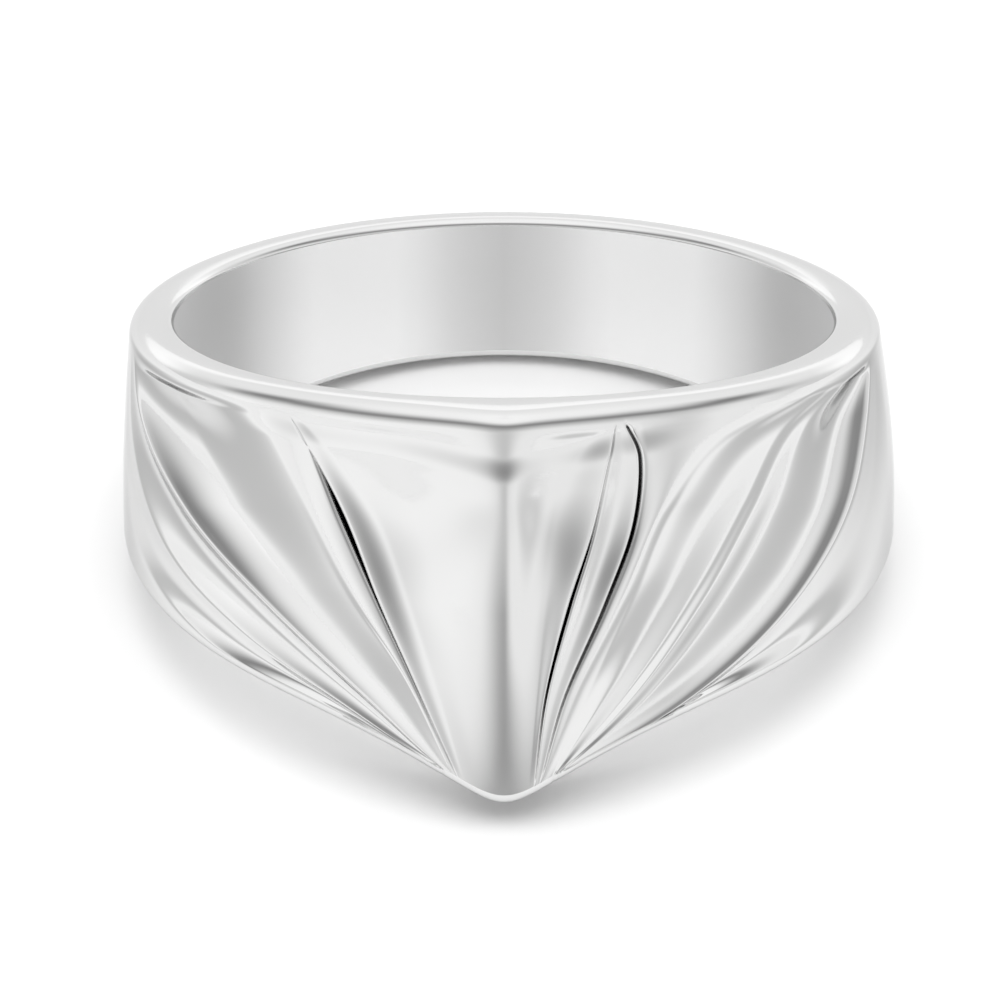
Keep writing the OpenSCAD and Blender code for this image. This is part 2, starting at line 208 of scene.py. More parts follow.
@dataclass
class RingForm:
    """Sizes of the ring in millimetres, and the surface that they give.

    The surface is given as points of four values: the angle, the height, the
    radius, and the recess, which says how deep a point lies inside a cut and
    sets the painted shade of the cuts' floors.
    """

    # The finger hole and the rim.
    bore_r: float = 8.65
    inner_edge_r: float = 0.2
    rim_w: float = 1.14
    rim_edge_r: float = 0.45
    rim_wave: float = 0.12
    # The lower edge, which dips to the low point, and its lip.
    side_depth: float = 5.9
    edge_slope: float = 2.1
    point_depth: float = 2.05
    point_spread: float = 14.0
    point_round: float = 4.0
    lip_r: float = 0.25
    # The swell of the sides, the fuller one on the right.
    side_swell: float = 0.37
    swell_offset: float = 0.13
    swell_depth: float = 5.0
    # The keel: blunt at the rim, creased at mid height and broad at the point.
    keel_out: float = 0.55
    keel_gain: float = 0.25
    keel_angle: float = 7.5
    keel_sharp: float = 1.5
    keel_rim: float = 5.0
    keel_low: float = 26.0
    keel_start: float = 1.6
    keel_from: float = 2.0
    keel_over: float = 5.0
    keel_end: float = 9.0
    # The hollow of the collar under the rim, and its dip at the keel.
    collar: float = 0.07
    collar_z: float = -0.75
    collar_dip: float = 0.6
    collar_fade: float = 14.0
    collar_w: float = 0.35
    collar_half: float = 34.0
    collar_centre: float = -8.0
    collar_soft: float = 7.0
    # Shares of the way up: where the front's ends turn up, and the part under the
    # rim in which the relief fades.
    corner: float = 0.6
    arch_share: float = 0.06
    # How fast the pull that lays the lowest rows on the lip fades upwards.
    lip_pull: int = 4
    # The folds, and the strips between them.
    folds: dict[str, Fold] = field(default_factory=front_folds)
    strips: dict[str, Strip] = field(default_factory=front_strips)

    @property
    def rim_r(self) -> float:
        """Outer radius of the rim at the back and sides."""
        return self.bore_r + self.rim_w

    def edge_z(self, angle: Value) -> Value:
        """Height of the lower edge at an angle.

        Args:
            angle: Degrees from the front.

        Returns:
            The height in millimetres, below zero.
        """
        reach = np.sqrt(np.square(angle) + self.point_round ** 2) - self.point_round
        plain = -self.side_depth - self.edge_slope * np.cos(np.radians(angle))
        return plain - self.point_depth * np.exp(-reach / self.point_spread)

    def lip_z(self, angle: Value) -> Value:
        """Height of the lower lip's upper side at an angle."""
        return self.edge_z(angle) + self.lip_r

    def rim_z(self, angle: np.ndarray) -> np.ndarray:
        """Height of the rim at an angle: it waves a little, twice round the ring."""
        return self.rim_wave * np.cos(2 * np.radians(angle))

    def envelope(self, angle: np.ndarray, z: np.ndarray) -> np.ndarray:
        """Outer radius that the ridges reach.

        Args:
            angle: Degrees from the front, from -180 to 180.
            z: Heights in millimetres.

        Returns:
            Radii in millimetres.
        """
        behind = np.maximum(np.abs(angle) - 90, 0)
        down = np.clip(-z / self.swell_depth, 0, 1)
        swell = self.side_swell + self.swell_offset * np.sin(np.radians(angle))
        swell = swell * np.maximum(np.cos(np.radians(behind)), 0) * np.sin(np.pi / 2 * down)
        return self.rim_r + swell + self.keel(angle, z)

    def keel(self, angle: np.ndarray, z: np.ndarray) -> np.ndarray:
        """How far the keel stands out.

        Args:
            angle: Degrees from the front.
            z: Heights in millimetres.

        Returns:
            Distances in millimetres.
        """
        gain = 1 + self.keel_gain * self.eased_step(-z / self.keel_end)
        above = 1 - self.eased_step(-z / self.keel_start)
        below = self.eased_step((-z - self.keel_from) / self.keel_over)
        at_rim = (self.keel_rim - self.keel_sharp) * above
        at_point = (self.keel_low - self.keel_sharp) * below
        blunt = self.keel_sharp + at_rim + at_point
        reach = np.sqrt(np.square(angle) + np.square(blunt)) - blunt
        return self.keel_out * gain * np.exp(-reach / self.keel_angle)

    def collar_depth(self, angle: np.ndarray, z: np.ndarray) -> np.ndarray:
        """Depth of the hollow under the rim, which dips to a point at the keel.

        Args:
            angle: Degrees from the front.
            z: Heights in millimetres.

        Returns:
            Depths in millimetres.
        """
        low = self.collar_z - self.collar_dip * np.exp(-np.abs(angle) / self.collar_fade)
        inward = self.collar_half - np.abs(angle - self.collar_centre)
        ends = self.eased_step(inward / (2 * self.collar_soft) + 0.5)
        return self.collar * ends * self.eased_step((z - low + self.collar_w) / (2 * self.collar_w))

    @staticmethod
    def eased_step(share: Value) -> Value:
        """Eases a share: 0 below 0, 1 above 1 and a smooth step between them."""
        share = np.clip(share, 0, 1)
        return share * share * (3 - 2 * share)

    @staticmethod
    def along(values: Curve, v: np.ndarray) -> np.ndarray:
        """Smooth curve through a table row's values at evenly spaced levels.

        Args:
            values: The values from the lower edge to the rim.
            v: Shares of the way up.

        Returns:
            The curve's values at v.
        """
        last = len(values) - 1
        held = np.array([2 * values[0] - values[1], *values, 2 * values[-1] - values[-2]])
        t = np.clip(v, 0, 1) * last
        i = np.minimum(t.astype(int), last - 1)
        f = t - i
        a, b, c, d = held[i], held[i + 1], held[i + 2], held[i + 3]
        curve = (2 * a - 5 * b + 4 * c - d) * f ** 2 + (3 * b - a - 3 * c + d) * f ** 3
        return (2 * b + (c - a) * f + curve) / 2

    def fold_at(self, fold: Fold, v: np.ndarray) -> tuple[np.ndarray, np.ndarray, np.ndarray]:
        """Angle, height and drop of a fold line.

        Args:
            fold: The fold line.
            v: Shares of the way up.

        Returns:
            Angles, heights and drops at v.
        """
        angle, drop = self.along(fold.angles, v), self.along(fold.drops, v)
        if fold.heights:
            ends = self.lip_z(fold.angles[0]), -self.rim_edge_r
            return angle, self.along((ends[0], *fold.heights, ends[1]), v), drop
        lip = self.lip_z(angle)
        rise = np.maximum((v - self.corner) / (1 - self.corner), 0)
        return angle, lip + (-self.rim_edge_r - lip) * rise, drop

    @staticmethod
    def hollow(across: float, strip: Strip) -> float:
        """Share of a strip's depth that a point has.

        Args:
            across: Share of the way across the strip, from the left.
            strip: The strip.

        Returns:
            0 at the folds and 1 at the floor.
        """
        if across < strip.floor_at:
            s, (at_fold, at_floor) = across / strip.floor_at, strip.left
        else:
            s, (at_fold, at_floor) = (1 - across) / (1 - strip.floor_at), strip.right
        return (s**3 - 2 * s**2 + s) * at_fold + (3 * s**2 - 2 * s**3) + (s**3 - s**2) * at_floor

    def front_column(self, index: int, across: float, v: np.ndarray) -> np.ndarray:
        """One column of points of the front, from the lower edge to the rim.

        Args:
            index: The strip's place from the left.
            across: Share of the way across the strip.
            v: Shares of the way up.

        Returns:
            Rows of angle, height, radius and recess.
        """
        folds = list(self.folds.values())
        strip = list(self.strips.values())[index]
        ends = np.append(v, 0.0)
        a = np.array(self.fold_at(folds[index], ends))
        b = np.array(self.fold_at(folds[index + 1], ends))
        share = np.array([[across], [across], [self.eased_step(across)]])
        angle, z, drop = a + (b - a) * share
        hold = self.lip_z(angle[-1]) - z[-1]
        angle, z, drop = angle[:-1], z[:-1], drop[:-1]
        z = z + (1 - v) ** self.lip_pull * hold + self.rim_z(angle) * v ** 2
        arch = self.eased_step((1 - v) / self.arch_share)
        hollow = self.along(strip.depths, v) * self.hollow(across, strip) * arch
        depth = drop * arch + self.collar_depth(angle, z) + hollow
        # A cut's depth sets its floor's painted shade; other strips get none.
        recess = hollow if strip.painted_shade else 0 * hollow
        return np.stack([angle, z, self.envelope(angle, z) - depth, recess], axis=1)

    def front_grid(self, v: np.ndarray) -> np.ndarray:
        """All columns of the front.

        Args:
            v: Shares of the way up, one for each row.

        Returns:
            An array of rows by columns by the four values of a point.
        """
        columns = []
        for index, strip in enumerate(self.strips.values()):
            for step in range(strip.columns):
                columns.append(self.front_column(index, step / strip.columns, v))
        columns.append(self.front_column(len(self.strips) - 1, 1.0, v))
        return np.stack(columns, axis=1)

    def back_grid(self, v: np.ndarray, columns: int) -> np.ndarray:
        """The plain back, from the front's right end round to its left end.

        Args:
            v: Shares of the way up from the corner to the rim.
            columns: Number of steps round the back.

        Returns:
            An array of rows by columns by the four values of a point.
        """
        folds = list(self.folds.values())
        right = self.fold_at(folds[-1], v)[0][:, None]
        left = self.fold_at(folds[0], v)[0][:, None]
        share = np.linspace(0, 1, columns + 1)[None, :]
        angle = right + (360 + left - right) * share
        angle = np.where(angle > 180, angle - 360, angle)
        rise = ((v - self.corner) / (1 - self.corner))[:, None]
        low = self.lip_z(angle)
        z = low + (-self.rim_edge_r - low) * rise
        z = z + self.rim_z(angle) * v[:, None] ** 2
        return np.stack([angle, z, self.envelope(angle, z), 0 * z], axis=2)


def own_frame(points: np.ndarray) -> np.ndarray:
    """Turns angle, height and radius into X, Y and Z of the ring's own frame.

    Args:
        points: An array whose last axis starts with angle, height and radius.

    Returns:
        The same array with X, Y and Z in their place, in millimetres.
    """
    angle, z, radius = np.radians(points[..., 0]), points[..., 1], points[..., 2]
    return np.stack([radius * np.sin(angle), -radius * np.cos(angle), z], axis=-1)


@dataclass
class RestingPlace:
    """Where the frame's finger hole puts the ring.

    The hole's point in the record lies some millimetres under the rim.
    """

    point_under_rim: float = 2.0
    axis: Vector = field(default_factory=Vector)
    point: Vector = field(default_factory=Vector)

    def __post_init__(self) -> None:
        """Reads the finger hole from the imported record."""
        mount = frame["record"]["mounts"][0]
        self.axis = Vector(mount["axis"])
        self.point = Vector(mount["pos_m"])

    @property
    def matrix(self) -> Matrix:
        """Takes the ring's own frame to its resting place.

        Returns:
            The matrix from millimetres in the own frame to metres at rest.
        """
        lean = math.atan2(self.axis.y, self.axis.z)
        turn = Matrix.Rotation(-lean, 4, "X")
        drop = Matrix.Translation((0, 0, self.point_under_rim * MM))
        return Matrix.Translation(self.point) @ turn @ drop @ Matrix.Scale(MM, 4)


def deselect_all() -> None:
    """Leaves no object selected, in object mode."""
    if bpy.context.object and bpy.context.object.mode != "OBJECT":
        bpy.ops.object.mode_set(mode="OBJECT")
    bpy.ops.object.select_all(action="DESELECT")


def activate(piece: bpy.types.Object) -> None:
    """Makes one object the only one selected, and the active one.

    Args:
        piece: The object.
    """
    deselect_all()
    piece.select_set(True)
    bpy.context.view_layer.objects.active = piece


def select_vertices(piece: bpy.types.Object, wanted: np.ndarray) -> None:
    """Selects the mesh's vertices by a mask, in vertex mode.

    Args:
        piece: The object in edit mode.
        wanted: One truth value for each vertex.
    """
    bpy.ops.object.mode_set(mode="OBJECT")
    mesh = piece.data
    mesh.polygons.foreach_set("select", np.zeros(len(mesh.polygons), bool))
    mesh.edges.foreach_set("select", np.zeros(len(mesh.edges), bool))
    mesh.vertices.foreach_set("select", np.asarray(wanted, bool))
    bpy.ops.object.mode_set(mode="EDIT")
    bpy.ops.mesh.select_mode(type="VERT")


@dataclass
class BandBuilder:
    """Builds the whole ring: the outer wall, its edges and the finger hole.

    Lengths are in millimetres. The counts say how fine the mesh is. An open line
    of the wall that lies above rim_lies_above is the rim's, else the lip's.
    """

    form: RingForm
    low_rows: int = 120
    high_rows: int = 70
    back_columns: int = 110
    hole_columns: int = 720
    edge_steps: int = 6
    softening: float = 0.5
    softening_rounds: int = 2
    merge_distance: float = 1e-4
    rim_lies_above: float = -1.35
    hole_tolerance: float = 0.002
    map_height: float = 10.0

    def rows(self) -> np.ndarray:
        """Where the wall's rows lie, closer together near the lip and the rim.

        Returns:
            Shares of the way up.
        """
        corner = self.form.corner
        low = self.eased(self.low_rows) * corner
        high = 1 - (1 - corner) * self.eased(self.high_rows)[::-1]
        return np.concatenate([low, high[1:]])

    @staticmethod
    def eased(count: int) -> np.ndarray:
        """Shares from 0 to 1 that lie closer together near 0."""
        share = np.linspace(0, 1, count + 1)
        return (share + 1 - np.cos(np.pi / 2 * share)) / 2

    @staticmethod
    def coordinates(piece: bpy.types.Object) -> np.ndarray:
        """The places of a mesh's vertices.

        Args:
            piece: The object, in object mode.

        Returns:
            Rows of X, Y and Z.
        """
        flat = np.empty(len(piece.data.vertices) * 3)
        piece.data.vertices.foreach_get("co", flat)
        return flat.reshape(-1, 3)

    def wall_patch(self, name: str, grid: np.ndarray) -> bpy.types.Object:
        """A grid primitive whose points are laid on the ring's wall.

        Args:
            name: The object's name.
            grid: Rows by columns by angle, height, radius and recess.

        Returns:
            The patch, in millimetres.
        """
        deselect_all()
        rows, columns = grid.shape[:2]
        bpy.ops.mesh.primitive_grid_add(x_subdivisions=columns - 1, y_subdivisions=rows - 1)
        patch = bpy.context.object
        patch.name = name
        patch.data.vertices.foreach_set("co", own_frame(grid).reshape(-1))
        # The depth in the cuts, kept for the painted shade of their floors.
        recess = patch.data.attributes.new(PAINTED_SHADE_DEPTH, "FLOAT", "POINT")
        recess.data.foreach_set("value", grid[..., 3].reshape(-1))
        patch.data.update()
        return patch

    def extrude_line(self, piece: bpy.types.Object, move: Move) -> None:
        """Extrudes the selected line and moves the new points.

        Args:
            piece: The object in edit mode, with one line of edges selected.
            move: Gives the new places of an array of points.
        """
        bpy.ops.mesh.extrude_region_move()
        bpy.ops.object.mode_set(mode="OBJECT")
        mesh = piece.data
        chosen = np.empty(len(mesh.vertices), bool)
        mesh.vertices.foreach_get("select", chosen)
        points = self.coordinates(piece)
        points[chosen] = move(points[chosen])
        mesh.vertices.foreach_set("co", points.reshape(-1))
        mesh.update()
        bpy.ops.object.mode_set(mode="EDIT")

    def keep_line(self, piece: bpy.types.Object, edge: RingEdge) -> None:
        """Remembers the selected vertices as a vertex group.

        Args:
            piece: The object in edit mode.
            edge: The edge that the line belongs to.
        """
        group = piece.vertex_groups.get(edge.value) or piece.vertex_groups.new(name=edge.value)
        piece.vertex_groups.active_index = group.index
        bpy.ops.object.vertex_group_assign()

    def roll_edge(self, piece: bpy.types.Object, edge: RingEdge) -> None:
        """Rolls the selected line of the wall over an edge, towards the hole.

        Args:
            piece: The object in edit mode.
            edge: The edge, which gives the rounding and its direction.
        """
        radius, up = self.form.rim_edge_r, 1.0
        if edge is RingEdge.LIP:
            radius, up = self.form.lip_r, -1.0
        for step in range(self.edge_steps):
            before, after = (math.pi / 2 * (step + k) / self.edge_steps for k in (0, 1))
            rise = up * radius * (math.sin(after) - math.sin(before))
            inward = radius * (math.cos(before) - math.cos(after))

            def over(points: np.ndarray, rise: float = rise, inward: float = inward) -> np.ndarray:
                """Moves points up or down and towards the axis.

                Args:
                    points: The points of the line.
                    rise: How far up they move.
                    inward: How far they move towards the axis.

                Returns:
                    The moved points.
                """
                reach = np.linalg.norm(points[:, :2], axis=1, keepdims=True)
                moved = points.copy()
                moved[:, :2] *= 1 - inward / reach
                moved[:, 2] += rise
                return moved

            self.extrude_line(piece, over)

    def wall(self) -> bpy.types.Object:
        """The outer wall, front and back in one, with rolled rim and lip.

        Returns:
            The open wall, with its two inner lines kept as vertex groups.
        """
        v = self.rows()
        front = self.wall_patch("front", self.form.front_grid(v))
        back = self.wall_patch("back", self.form.back_grid(v[self.low_rows:], self.back_columns))
        activate(front)
        back.select_set(True)
        bpy.ops.object.join()
        bpy.ops.object.mode_set(mode="EDIT")
        bpy.ops.mesh.select_all(action="SELECT")
        bpy.ops.mesh.remove_doubles(threshold=self.merge_distance)
        bpy.ops.mesh.normals_make_consistent(inside=False)
        bpy.ops.mesh.vertices_smooth(factor=self.softening, repeat=self.softening_rounds)
        bpy.ops.mesh.select_all(action="DESELECT")
        bpy.ops.mesh.select_mode(type="EDGE")
        bpy.ops.mesh.select_non_manifold(extend=False)
        bpy.ops.object.mode_set(mode="OBJECT")
        chosen = np.empty(len(front.data.vertices), bool)
        front.data.vertices.foreach_get("select", chosen)
        above = self.coordinates(front)[:, 2] > self.rim_lies_above
        for edge, line in ((RingEdge.RIM, chosen & above), (RingEdge.LIP, chosen & ~above)):
            padded = np.zeros(len(front.data.vertices), bool)
            padded[:len(line)] = line
            select_vertices(front, padded)
            self.roll_edge(front, edge)
            self.keep_line(front, edge)
        bpy.ops.object.mode_set(mode="OBJECT")
        return front

    def hole_line(self, step: int, edge: RingEdge) -> Move:
        """Where a section of the finger hole's wall lies.

        Args:
            step: The section's place round the inner edge, from the flat.
            edge: The edge that the section belongs to.

        Returns:
            A function that moves points to the section.
        """
        form = self.form
        turn = math.pi / 2 * step / self.edge_steps
        radius = form.bore_r + form.inner_edge_r * (1 - math.sin(turn))
        depth = form.inner_edge_r * (1 - math.cos(turn))

        def lay(points: np.ndarray) -> np.ndarray:
            """Lays points on the section, at their own angles.

            Args:
                points: The points of the line.

            Returns:
                The moved points.
            """
            reach = np.linalg.norm(points[:, :2], axis=1, keepdims=True)
            angle = np.degrees(np.arctan2(points[:, 0], -points[:, 1]))
            moved = points.copy()
            moved[:, :2] *= radius / reach
            if edge is RingEdge.LIP:
                moved[:, 2] = form.edge_z(angle) + depth
            else:
                moved[:, 2] = form.rim_z(angle) - depth
            return moved

        return lay

    def hole(self) -> bpy.types.Object:
        """The finger hole's wall with its two rounded edges.

        Returns:
            The open wall, with its two outer lines kept as vertex groups.
        """
        deselect_all()
        bpy.ops.mesh.primitive_circle_add(vertices=self.hole_columns, radius=self.form.bore_r)
        hole = bpy.context.object
        bpy.ops.object.mode_set(mode="EDIT")
        self.keep_line(hole, RingEdge.RIM)
        bpy.ops.object.mode_set(mode="OBJECT")
        points = self.hole_line(0, RingEdge.RIM)(self.coordinates(hole))
        hole.data.vertices.foreach_set("co", points.reshape(-1))
        bpy.ops.object.mode_set(mode="EDIT")
        bpy.ops.mesh.select_all(action="SELECT")
        sections = [(step, RingEdge.RIM) for step in range(1, self.edge_steps + 1)]
        sections += [(step, RingEdge.LIP) for step in range(self.edge_steps, -1, -1)]
        for step, edge in sections:
            self.extrude_line(hole, self.hole_line(step, edge))
            bpy.ops.object.vertex_group_remove_from()
        self.keep_line(hole, RingEdge.LIP)
        bpy.ops.object.mode_set(mode="OBJECT")
        return hole

    def close_edge(self, piece: bpy.types.Object, edge: RingEdge) -> None:
        """Joins an edge's two lines, the wall's and the hole's, with faces.

        Args:
            piece: The object in edit mode.
            edge: The edge.
        """
        bpy.ops.mesh.select_all(action="DESELECT")
        piece.vertex_groups.active_index = piece.vertex_groups[edge.value].index
        bpy.ops.object.vertex_group_select()
        bpy.ops.mesh.fill(use_beauty=True)

    def build(self, matrix: Matrix) -> bpy.types.Object:
        """Builds the closed ring in its resting place.

        Args:
            matrix: Takes the ring's own frame to the resting place.

        Returns:
            The ring as one mesh.
        """
        band = self.wall()
        hole = self.hole()
        activate(band)
        hole.select_set(True)
        bpy.ops.object.join()
        band.name = "silver_band"
        bpy.ops.object.mode_set(mode="EDIT")
        bpy.ops.mesh.select_mode(type="VERT")
        for edge in RingEdge:
            self.close_edge(band, edge)
        bpy.ops.mesh.select_all(action="SELECT")
        bpy.ops.mesh.normals_make_consistent(inside=False)
        bpy.ops.object.mode_set(mode="OBJECT")
        band.vertex_groups.clear()
        self.map_and_split(band)
        band.data.transform(matrix)
        bpy.ops.object.shade_smooth()
        return band

    def map_and_split(self, band: bpy.types.Object) -> None:
        """Gives the ring a UV map that runs round it, and its hole the second finish.

        Args:
            band: The ring in its own frame, in millimetres.
        """
        mesh = band.data
        points = self.coordinates(band)
        corners = np.empty(len(mesh.loops), int)
        mesh.loops.foreach_get("vertex_index", corners)
        sides = [face.loop_total for face in mesh.polygons]
        faces = np.repeat(np.arange(len(sides)), sides)
        turn = np.arctan2(points[corners, 0], -points[corners, 1]) / (2 * np.pi) + HALF_TURN
        low, high = np.full(len(sides), np.inf), np.full(len(sides), -np.inf)
        np.minimum.at(low, faces, turn)
        np.maximum.at(high, faces, turn)
        split = (high - low > HALF_TURN)[faces]
        turn = np.where(split & (turn < HALF_TURN), turn + 1, turn)
        up = points[corners, 2] / self.map_height + 1
        layer = mesh.uv_layers.new(name=UV_ROUND)
        layer.data.foreach_set("uv", np.stack([turn, up], axis=1).reshape(-1))
        reach = np.linalg.norm(points[:, :2], axis=1)[corners]
        mean_reach = np.bincount(faces, reach) / np.bincount(faces)
        in_hole = mean_reach < self.form.bore_r + self.hole_tolerance
        mesh.polygons.foreach_set("material_index", in_hole.astype(int))

    @staticmethod
    def dress(band: bpy.types.Object) -> None:
        """Gives the ring its two finishes: the outside's, then the hole's."""
        band.data.materials.append(PolishedSilver().material())
        band.data.materials.append(HoleSilver().material())


def math_node(tree: bpy.types.NodeTree, kind: str, *inputs: Signal) -> bpy.types.NodeSocket:
    """Adds a Math node.

    Args:
        tree: The node tree.
        kind: The node's operation.
        inputs: Numbers or sockets, in order.

    Returns:
        The new node's result.
    """
    made = tree.nodes.new("ShaderNodeMath")
    made.operation = kind
    for socket, value in zip(made.inputs, inputs):
        if isinstance(value, (int, float)):
            socket.default_value = value
        else:
            tree.links.new(value, socket)
    return made.outputs[0]


def eased_ramp(
    tree: bpy.types.NodeTree, value: bpy.types.NodeSocket, start: float, end: float
) -> bpy.types.NodeSocket:
    """Adds a smooth step from 0 to 1.

    Args:
        tree: The node tree.
        value: The socket that is read.
        start: The value that gives 0.
        end: The value that gives 1.

    Returns:
        The step's result.
    """
    ramp = tree.nodes.new("ShaderNodeMapRange")
    ramp.interpolation_type = "SMOOTHSTEP"
    tree.links.new(value, ramp.inputs["Value"])
    ramp.inputs["From Min"].default_value = start
    ramp.inputs["From Max"].default_value = end
    return ramp.outputs["Result"]


@dataclass(frozen=True)
class PolishedSilver:
    """Cast silver with a soft polish, as on the outside, with painted shade on the floors of its
    cuts.

    The edge tone greys the metal where it is seen at a grazing angle. The
    recess says how deep a point lies in a cut, in millimetres, and the painted
    shade deepens with it.
    """

    name: str = "polished_silver"
    metallic: float = 1.0
    roughness: float = 0.1
    tone: tuple[float, float, float] = (0.75, 0.75, 0.748)
    edge_tone: float = 0.75
    # Painted shade of the cut floors: the recess where it starts, where it is full, and its tone.
    painted_shade_from: float = 0.06
    painted_shade_to: float = 0.25
    painted_shade_tone: tuple[float, float, float] = (0.05, 0.05, 0.05)

    def material(self) -> bpy.types.Material:
        """The finish as a material.

        Returns:
            A new material.
        """
        silver = bpy.data.materials.new(self.name)
        silver.use_nodes = True
        tree = silver.node_tree
        shader = tree.nodes["Principled BSDF"]
        shader.inputs["Base Color"].default_value = (*self.tone, 1)
        shader.inputs["Metallic"].default_value = self.metallic
        shader.inputs["Roughness"].default_value = self.roughness
        shader.inputs["Specular Tint"].default_value = (*[self.edge_tone] * 3, 1)
        tree.links.new(self.colour(tree), shader.inputs["Base Color"])
        return silver

    def colour(self, tree: bpy.types.NodeTree) -> bpy.types.NodeSocket:
        """The metal's colour, with painted shade that deepens with the recess.

        Args:
            tree: The material's node tree.

        Returns:
            The colour's socket.
        """
        recess = tree.nodes.new("ShaderNodeAttribute")
        recess.attribute_name = PAINTED_SHADE_DEPTH
        ramp = tree.nodes.new("ShaderNodeValToRGB")
        ramp.color_ramp.interpolation = "EASE"
        # The ramp runs from the bare metal's tone to the painted shade's tone.
        light, painted_shade = ramp.color_ramp.elements
        light.position, light.color = self.painted_shade_from, (*self.tone, 1)
        painted_shade.position, painted_shade.color = self.painted_shade_to, (*self.painted_shade_tone, 1)
        tree.links.new(recess.outputs["Fac"], ramp.inputs["Fac"])
        return ramp.outputs["Color"]


@dataclass(frozen=True)
class HoleSilver(PolishedSilver):
    """The finger hole's silver, with soft upright stripes of painted reflection round its wall.

    Each stripe is a share of the way round, from the back past the left side, and
    the tone of the painted reflection there.
    """

    name: str = "hole_silver"
    metallic: float = 0.2
    roughness: float = 0.35
    # Painted reflections: the tone at each share of the way round the hole.
    painted_reflection_bands: tuple[tuple[float, float], ...] = (
        (0.0, 0.66), (0.03, 0.82), (0.055, 1.0), (0.1, 1.0), (0.14, 0.68),
        (0.17, 0.52), (0.25, 0.65), (0.5, 0.8), (0.75, 0.65), (0.83, 0.54),
        (0.86, 0.7), (0.9, 1.0), (0.945, 1.0), (0.97, 0.82), (1.0, 0.66),
    )

    def colour(self, tree: bpy.types.NodeTree) -> bpy.types.NodeSocket:
        """The metal's colour, in stripes of painted reflection round the hole.

        Args:
            tree: The material's node tree.

        Returns:
            The colour's socket.
        """
        around = tree.nodes.new("ShaderNodeUVMap")
        around.uv_map = UV_ROUND
        apart = tree.nodes.new("ShaderNodeSeparateXYZ")
        tree.links.new(around.outputs["UV"], apart.inputs[0])
        ramp = tree.nodes.new("ShaderNodeValToRGB")
        ramp.color_ramp.interpolation = "CARDINAL"
        stops = ramp.color_ramp.elements
        ready = len(stops)
        for index, (spot, tone) in enumerate(self.painted_reflection_bands):
            stop = stops[index] if index < ready else stops.new(spot)
            stop.position = spot
            stop.color = (tone, tone, tone, 1)
        tree.links.new(math_node(tree, "FRACT", apart.outputs["X"]), ramp.inputs["Fac"])
        return ramp.outputs["Color"]


